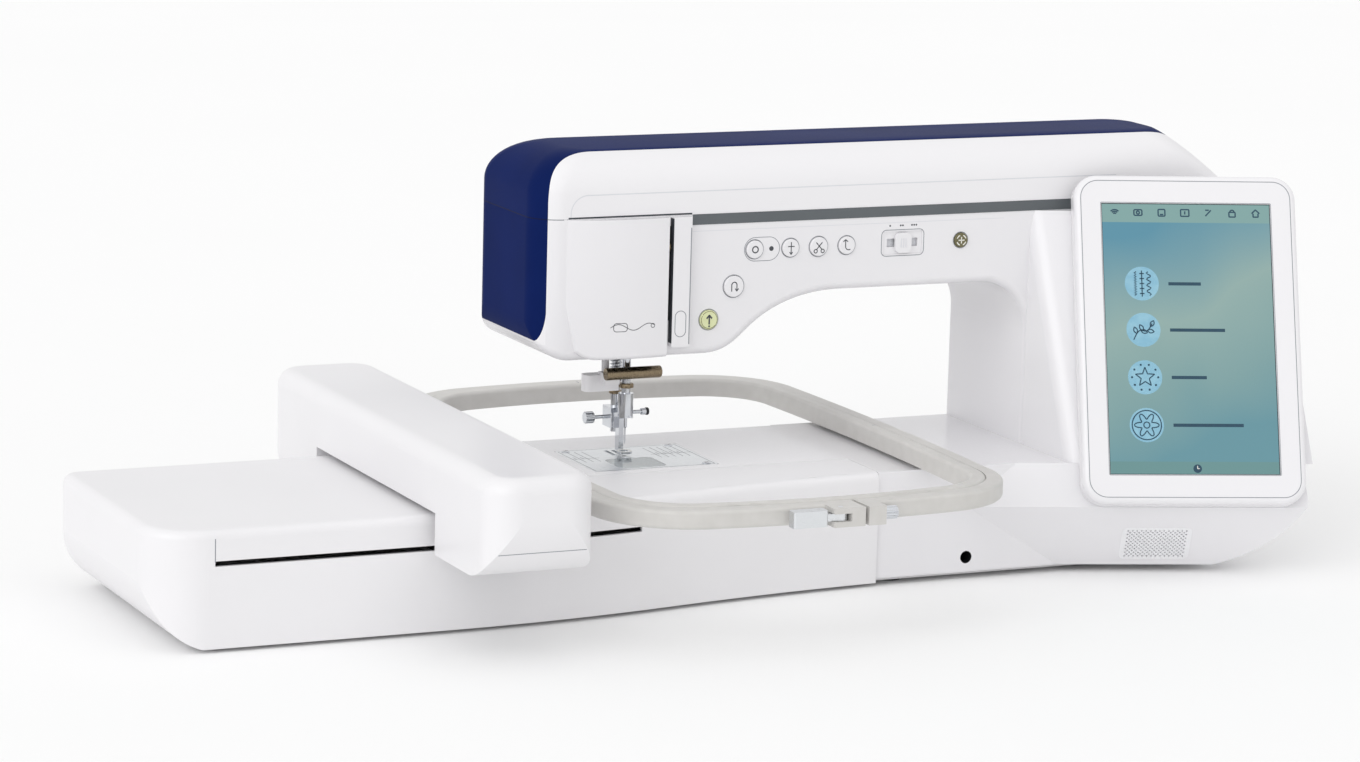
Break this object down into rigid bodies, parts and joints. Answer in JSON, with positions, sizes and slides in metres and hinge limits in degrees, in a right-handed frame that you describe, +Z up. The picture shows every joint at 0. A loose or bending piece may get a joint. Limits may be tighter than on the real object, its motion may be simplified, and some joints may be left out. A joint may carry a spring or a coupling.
{
  "type": "sewing and embroidery machine",
  "caption": "White free-arm sewing and embroidery machine with a large tilted touch display, a navy lid and an embroidery unit whose carriage arm moves a hoop.",
  "frame": {"origin": "middle of the bounding box at the table the feet stand on", "axes": "+X right along the machine as the user sees it, +Y to its back, +Z up"},
  "size_m": [0.959, 0.52, 0.335],
  "materials": {
    "white_shell": "gloss",
    "white_matte": "matte",
    "navy_shell": "satin",
    "grey_trim": "satin",
    "hoop_grey": "satin",
    "steel": "brushed",
    "chrome": "polished",
    "cast_alloy": "cast",
    "rubber": "matte",
    "black_plastic": "matte",
    "grille_grey": "matte",
    "screen_glass": "polished",
    "clear_plastic": "polished",
    "bronze_metal": "satin",
    "green_key": "satin",
    "olive_key": "satin"
  },
  "bodies": {
    "base": {"base_housing": "white_shell", "base_plate": "white_matte", "feet": "rubber", "speaker_grille": "grille_grey", "power_inlet": "black_plastic", "arm_front_cover": "white_shell", "arm_rear_cover": "white_shell", "end_cover": "navy_shell", "face_cover": "white_shell", "trim_strip": "grey_trim", "pillar_cover": "white_shell", "display_frame": "white_shell", "display_panel": "black_plastic", "display_glass": "screen_glass", "hinge_pins": "steel", "machine_frame": "cast_alloy", "needle_plate": "steel", "bobbin_cover": "clear_plastic", "bobbin_case": "black_plastic", "timing_belt": "rubber", "screws": "steel", "unit_lower_shell": "white_shell", "unit_top_shell": "white_shell", "x_rails": "steel"},
    "lid": {"lid_front": "white_shell", "lid_rear": "navy_shell"},
    "drive": {"main_shaft": "steel", "handwheel": "white_matte"},
    "lower_drive": {"lower_shaft": "steel"},
    "hook": {"rotary_hook": "steel"},
    "bobbin_body": {"bobbin": "clear_plastic"},
    "needle_body": {"needle_bar": "chrome", "needle_clamp": "chrome", "needle": "chrome"},
    "clamp_screw_body": {"clamp_screw": "black_plastic"},
    "presser": {"presser_bar": "chrome", "embroidery_foot": "chrome"},
    "foot_screw_body": {"foot_screw": "chrome"},
    "threader_body": {"threader": "bronze_metal"},
    "take_up": {"take_up_lever": "chrome"},
    "feed": {"feed_dog": "steel"},
    "slider_body": {"speed_slider": "white_matte"},
    "lifter": {"presser_lever": "white_matte"},
    "rocker": {"power_switch": "black_plastic"},
    "carriage": {"x_carriage": "cast_alloy", "arm_shell": "white_shell", "arm_frame": "cast_alloy", "y_rails": "steel"},
    "hoop": {"y_carriage": "white_matte", "hoop_outer": "hoop_grey", "hoop_inner": "hoop_grey"},
    "hoop_lever_body": {"hoop_lever": "steel"},
    "hoop_screw_body": {"hoop_screw": "chrome"},
    "button_start_body": {"button_start": "green_key"},
    "button_reverse_body": {"button_reverse": "white_matte"},
    "button_reinforce_body": {"button_reinforce": "white_matte"},
    "button_needle_body": {"button_needle": "white_matte"},
    "button_cutter_body": {"button_cutter": "white_matte"},
    "button_lifter_body": {"button_lifter": "white_matte"},
    "button_clamp_body": {"button_clamp": "olive_key"}
  },
  "joints": [
    {"name": "lid_open", "type": "hinge", "parent": "base", "child": "lid", "pos_m": [-0.0465, 0.1174, 0.2885], "axis": [-1, 0, 0], "range_deg": [0, 65]},
    {"name": "handwheel_turn", "type": "hinge", "parent": "base", "child": "drive", "pos_m": [-0.0465, 0.058, 0.258], "axis": [1, 0, 0], "continuous": true},
    {"name": "lower_shaft_turn", "type": "hinge", "parent": "base", "child": "lower_drive", "pos_m": [-0.0465, 0.032, 0.047], "axis": [1, 0, 0], "continuous": true},
    {"name": "hook_turn", "type": "hinge", "parent": "base", "child": "hook", "pos_m": [-0.0465, 0.014, 0.05], "axis": [0, 0, 1], "continuous": true},
    {"name": "bobbin_turn", "type": "hinge", "parent": "base", "child": "bobbin_body", "pos_m": [-0.0465, 0.014, 0.074], "axis": [0, 0, 1], "continuous": true},
    {"name": "needle_stroke", "type": "slide", "parent": "base", "child": "needle_body", "axis": [0, 0, 1], "range_m": [-0.016, 0.01]},
    {"name": "needle_clamp_turn", "type": "hinge", "parent": "needle_body", "child": "clamp_screw_body", "pos_m": [-0.0465, 0.036, 0.1245], "axis": [1, 0, 0], "continuous": true},
    {"name": "presser_lift", "type": "slide", "parent": "base", "child": "presser", "axis": [0, 0, 1], "range_m": [0, 0.008]},
    {"name": "foot_screw_turn", "type": "hinge", "parent": "presser", "child": "foot_screw_body", "pos_m": [-0.0465, 0.056, 0.118], "axis": [1, 0, 0], "continuous": true},
    {"name": "threader_drop", "type": "slide", "parent": "base", "child": "threader_body", "axis": [0, 0, 1], "range_m": [-0.016, 0], "stiffness_N_per_m": 400, "springref_m": 0.006},
    {"name": "take_up_swing", "type": "hinge", "parent": "base", "child": "take_up", "pos_m": [-0.0465, 0.012, 0.262], "axis": [1, 0, 0], "range_deg": [-14, 18]},
    {"name": "feed_rise", "type": "slide", "parent": "base", "child": "feed", "axis": [0, 0, 1], "range_m": [0, 0.0018]},
    {"name": "speed_set", "type": "slide", "parent": "base", "child": "slider_body", "axis": [1, 0, 0], "range_m": [-0.01, 0.01]},
    {"name": "lifter_swing", "type": "hinge", "parent": "base", "child": "lifter", "pos_m": [-0.0465, 0.102, 0.205], "axis": [1, 0, 0], "range_deg": [0, 30]},
    {"name": "power_rock", "type": "hinge", "parent": "base", "child": "rocker", "pos_m": [0.4505, 0.088, 0.075], "axis": [0, 1, 0], "range_deg": [-6, 6]},
    {"name": "carriage_x", "type": "slide", "parent": "base", "child": "carriage", "axis": [1, 0, 0], "range_m": [-0.165, 0.07]},
    {"name": "hoop_y", "type": "slide", "parent": "carriage", "child": "hoop", "axis": [0, 1, 0], "range_m": [-0.155, 0.15]},
    {"name": "hoop_lever_swing", "type": "hinge", "parent": "hoop", "child": "hoop_lever_body", "pos_m": [-0.0025, -0.2525, 0.1], "axis": [0, 0, 1], "range_deg": [0, 60]},
    {"name": "hoop_screw_turn", "type": "hinge", "parent": "hoop", "child": "hoop_screw_body", "pos_m": [0.0135, -0.2525, 0.1], "axis": [1, 0, 0], "continuous": true},
    {"name": "press_start", "type": "slide", "parent": "base", "child": "button_start_body", "axis": [0, 1, 0], "range_m": [0, 0.0015], "stiffness_N_per_m": 300, "springref_m": -0.001},
    {"name": "press_reverse", "type": "slide", "parent": "base", "child": "button_reverse_body", "axis": [0, 1, 0], "range_m": [0, 0.0015], "stiffness_N_per_m": 300, "springref_m": -0.001},
    {"name": "press_reinforce", "type": "slide", "parent": "base", "child": "button_reinforce_body", "axis": [0, 1, 0], "range_m": [0, 0.0015], "stiffness_N_per_m": 300, "springref_m": -0.001},
    {"name": "press_needle", "type": "slide", "parent": "base", "child": "button_needle_body", "axis": [0, 1, 0], "range_m": [0, 0.0015], "stiffness_N_per_m": 300, "springref_m": -0.001},
    {"name": "press_cutter", "type": "slide", "parent": "base", "child": "button_cutter_body", "axis": [0, 1, 0], "range_m": [0, 0.0015], "stiffness_N_per_m": 300, "springref_m": -0.001},
    {"name": "press_lifter", "type": "slide", "parent": "base", "child": "button_lifter_body", "axis": [0, 1, 0], "range_m": [0, 0.0015], "stiffness_N_per_m": 300, "springref_m": -0.001},
    {"name": "press_clamp", "type": "slide", "parent": "base", "child": "button_clamp_body", "axis": [0, 1, 0], "range_m": [0, 0.0015], "stiffness_N_per_m": 300, "springref_m": -0.001}
  ],
  "couplings": [
    {"joint": "lower_shaft_turn", "follows": "handwheel_turn", "ratio": 1},
    {"joint": "hook_turn", "follows": "handwheel_turn", "ratio": 2},
    {"joint": "lifter_swing", "follows": "presser_lift", "rad_per_m": 65.4}
  ]
}
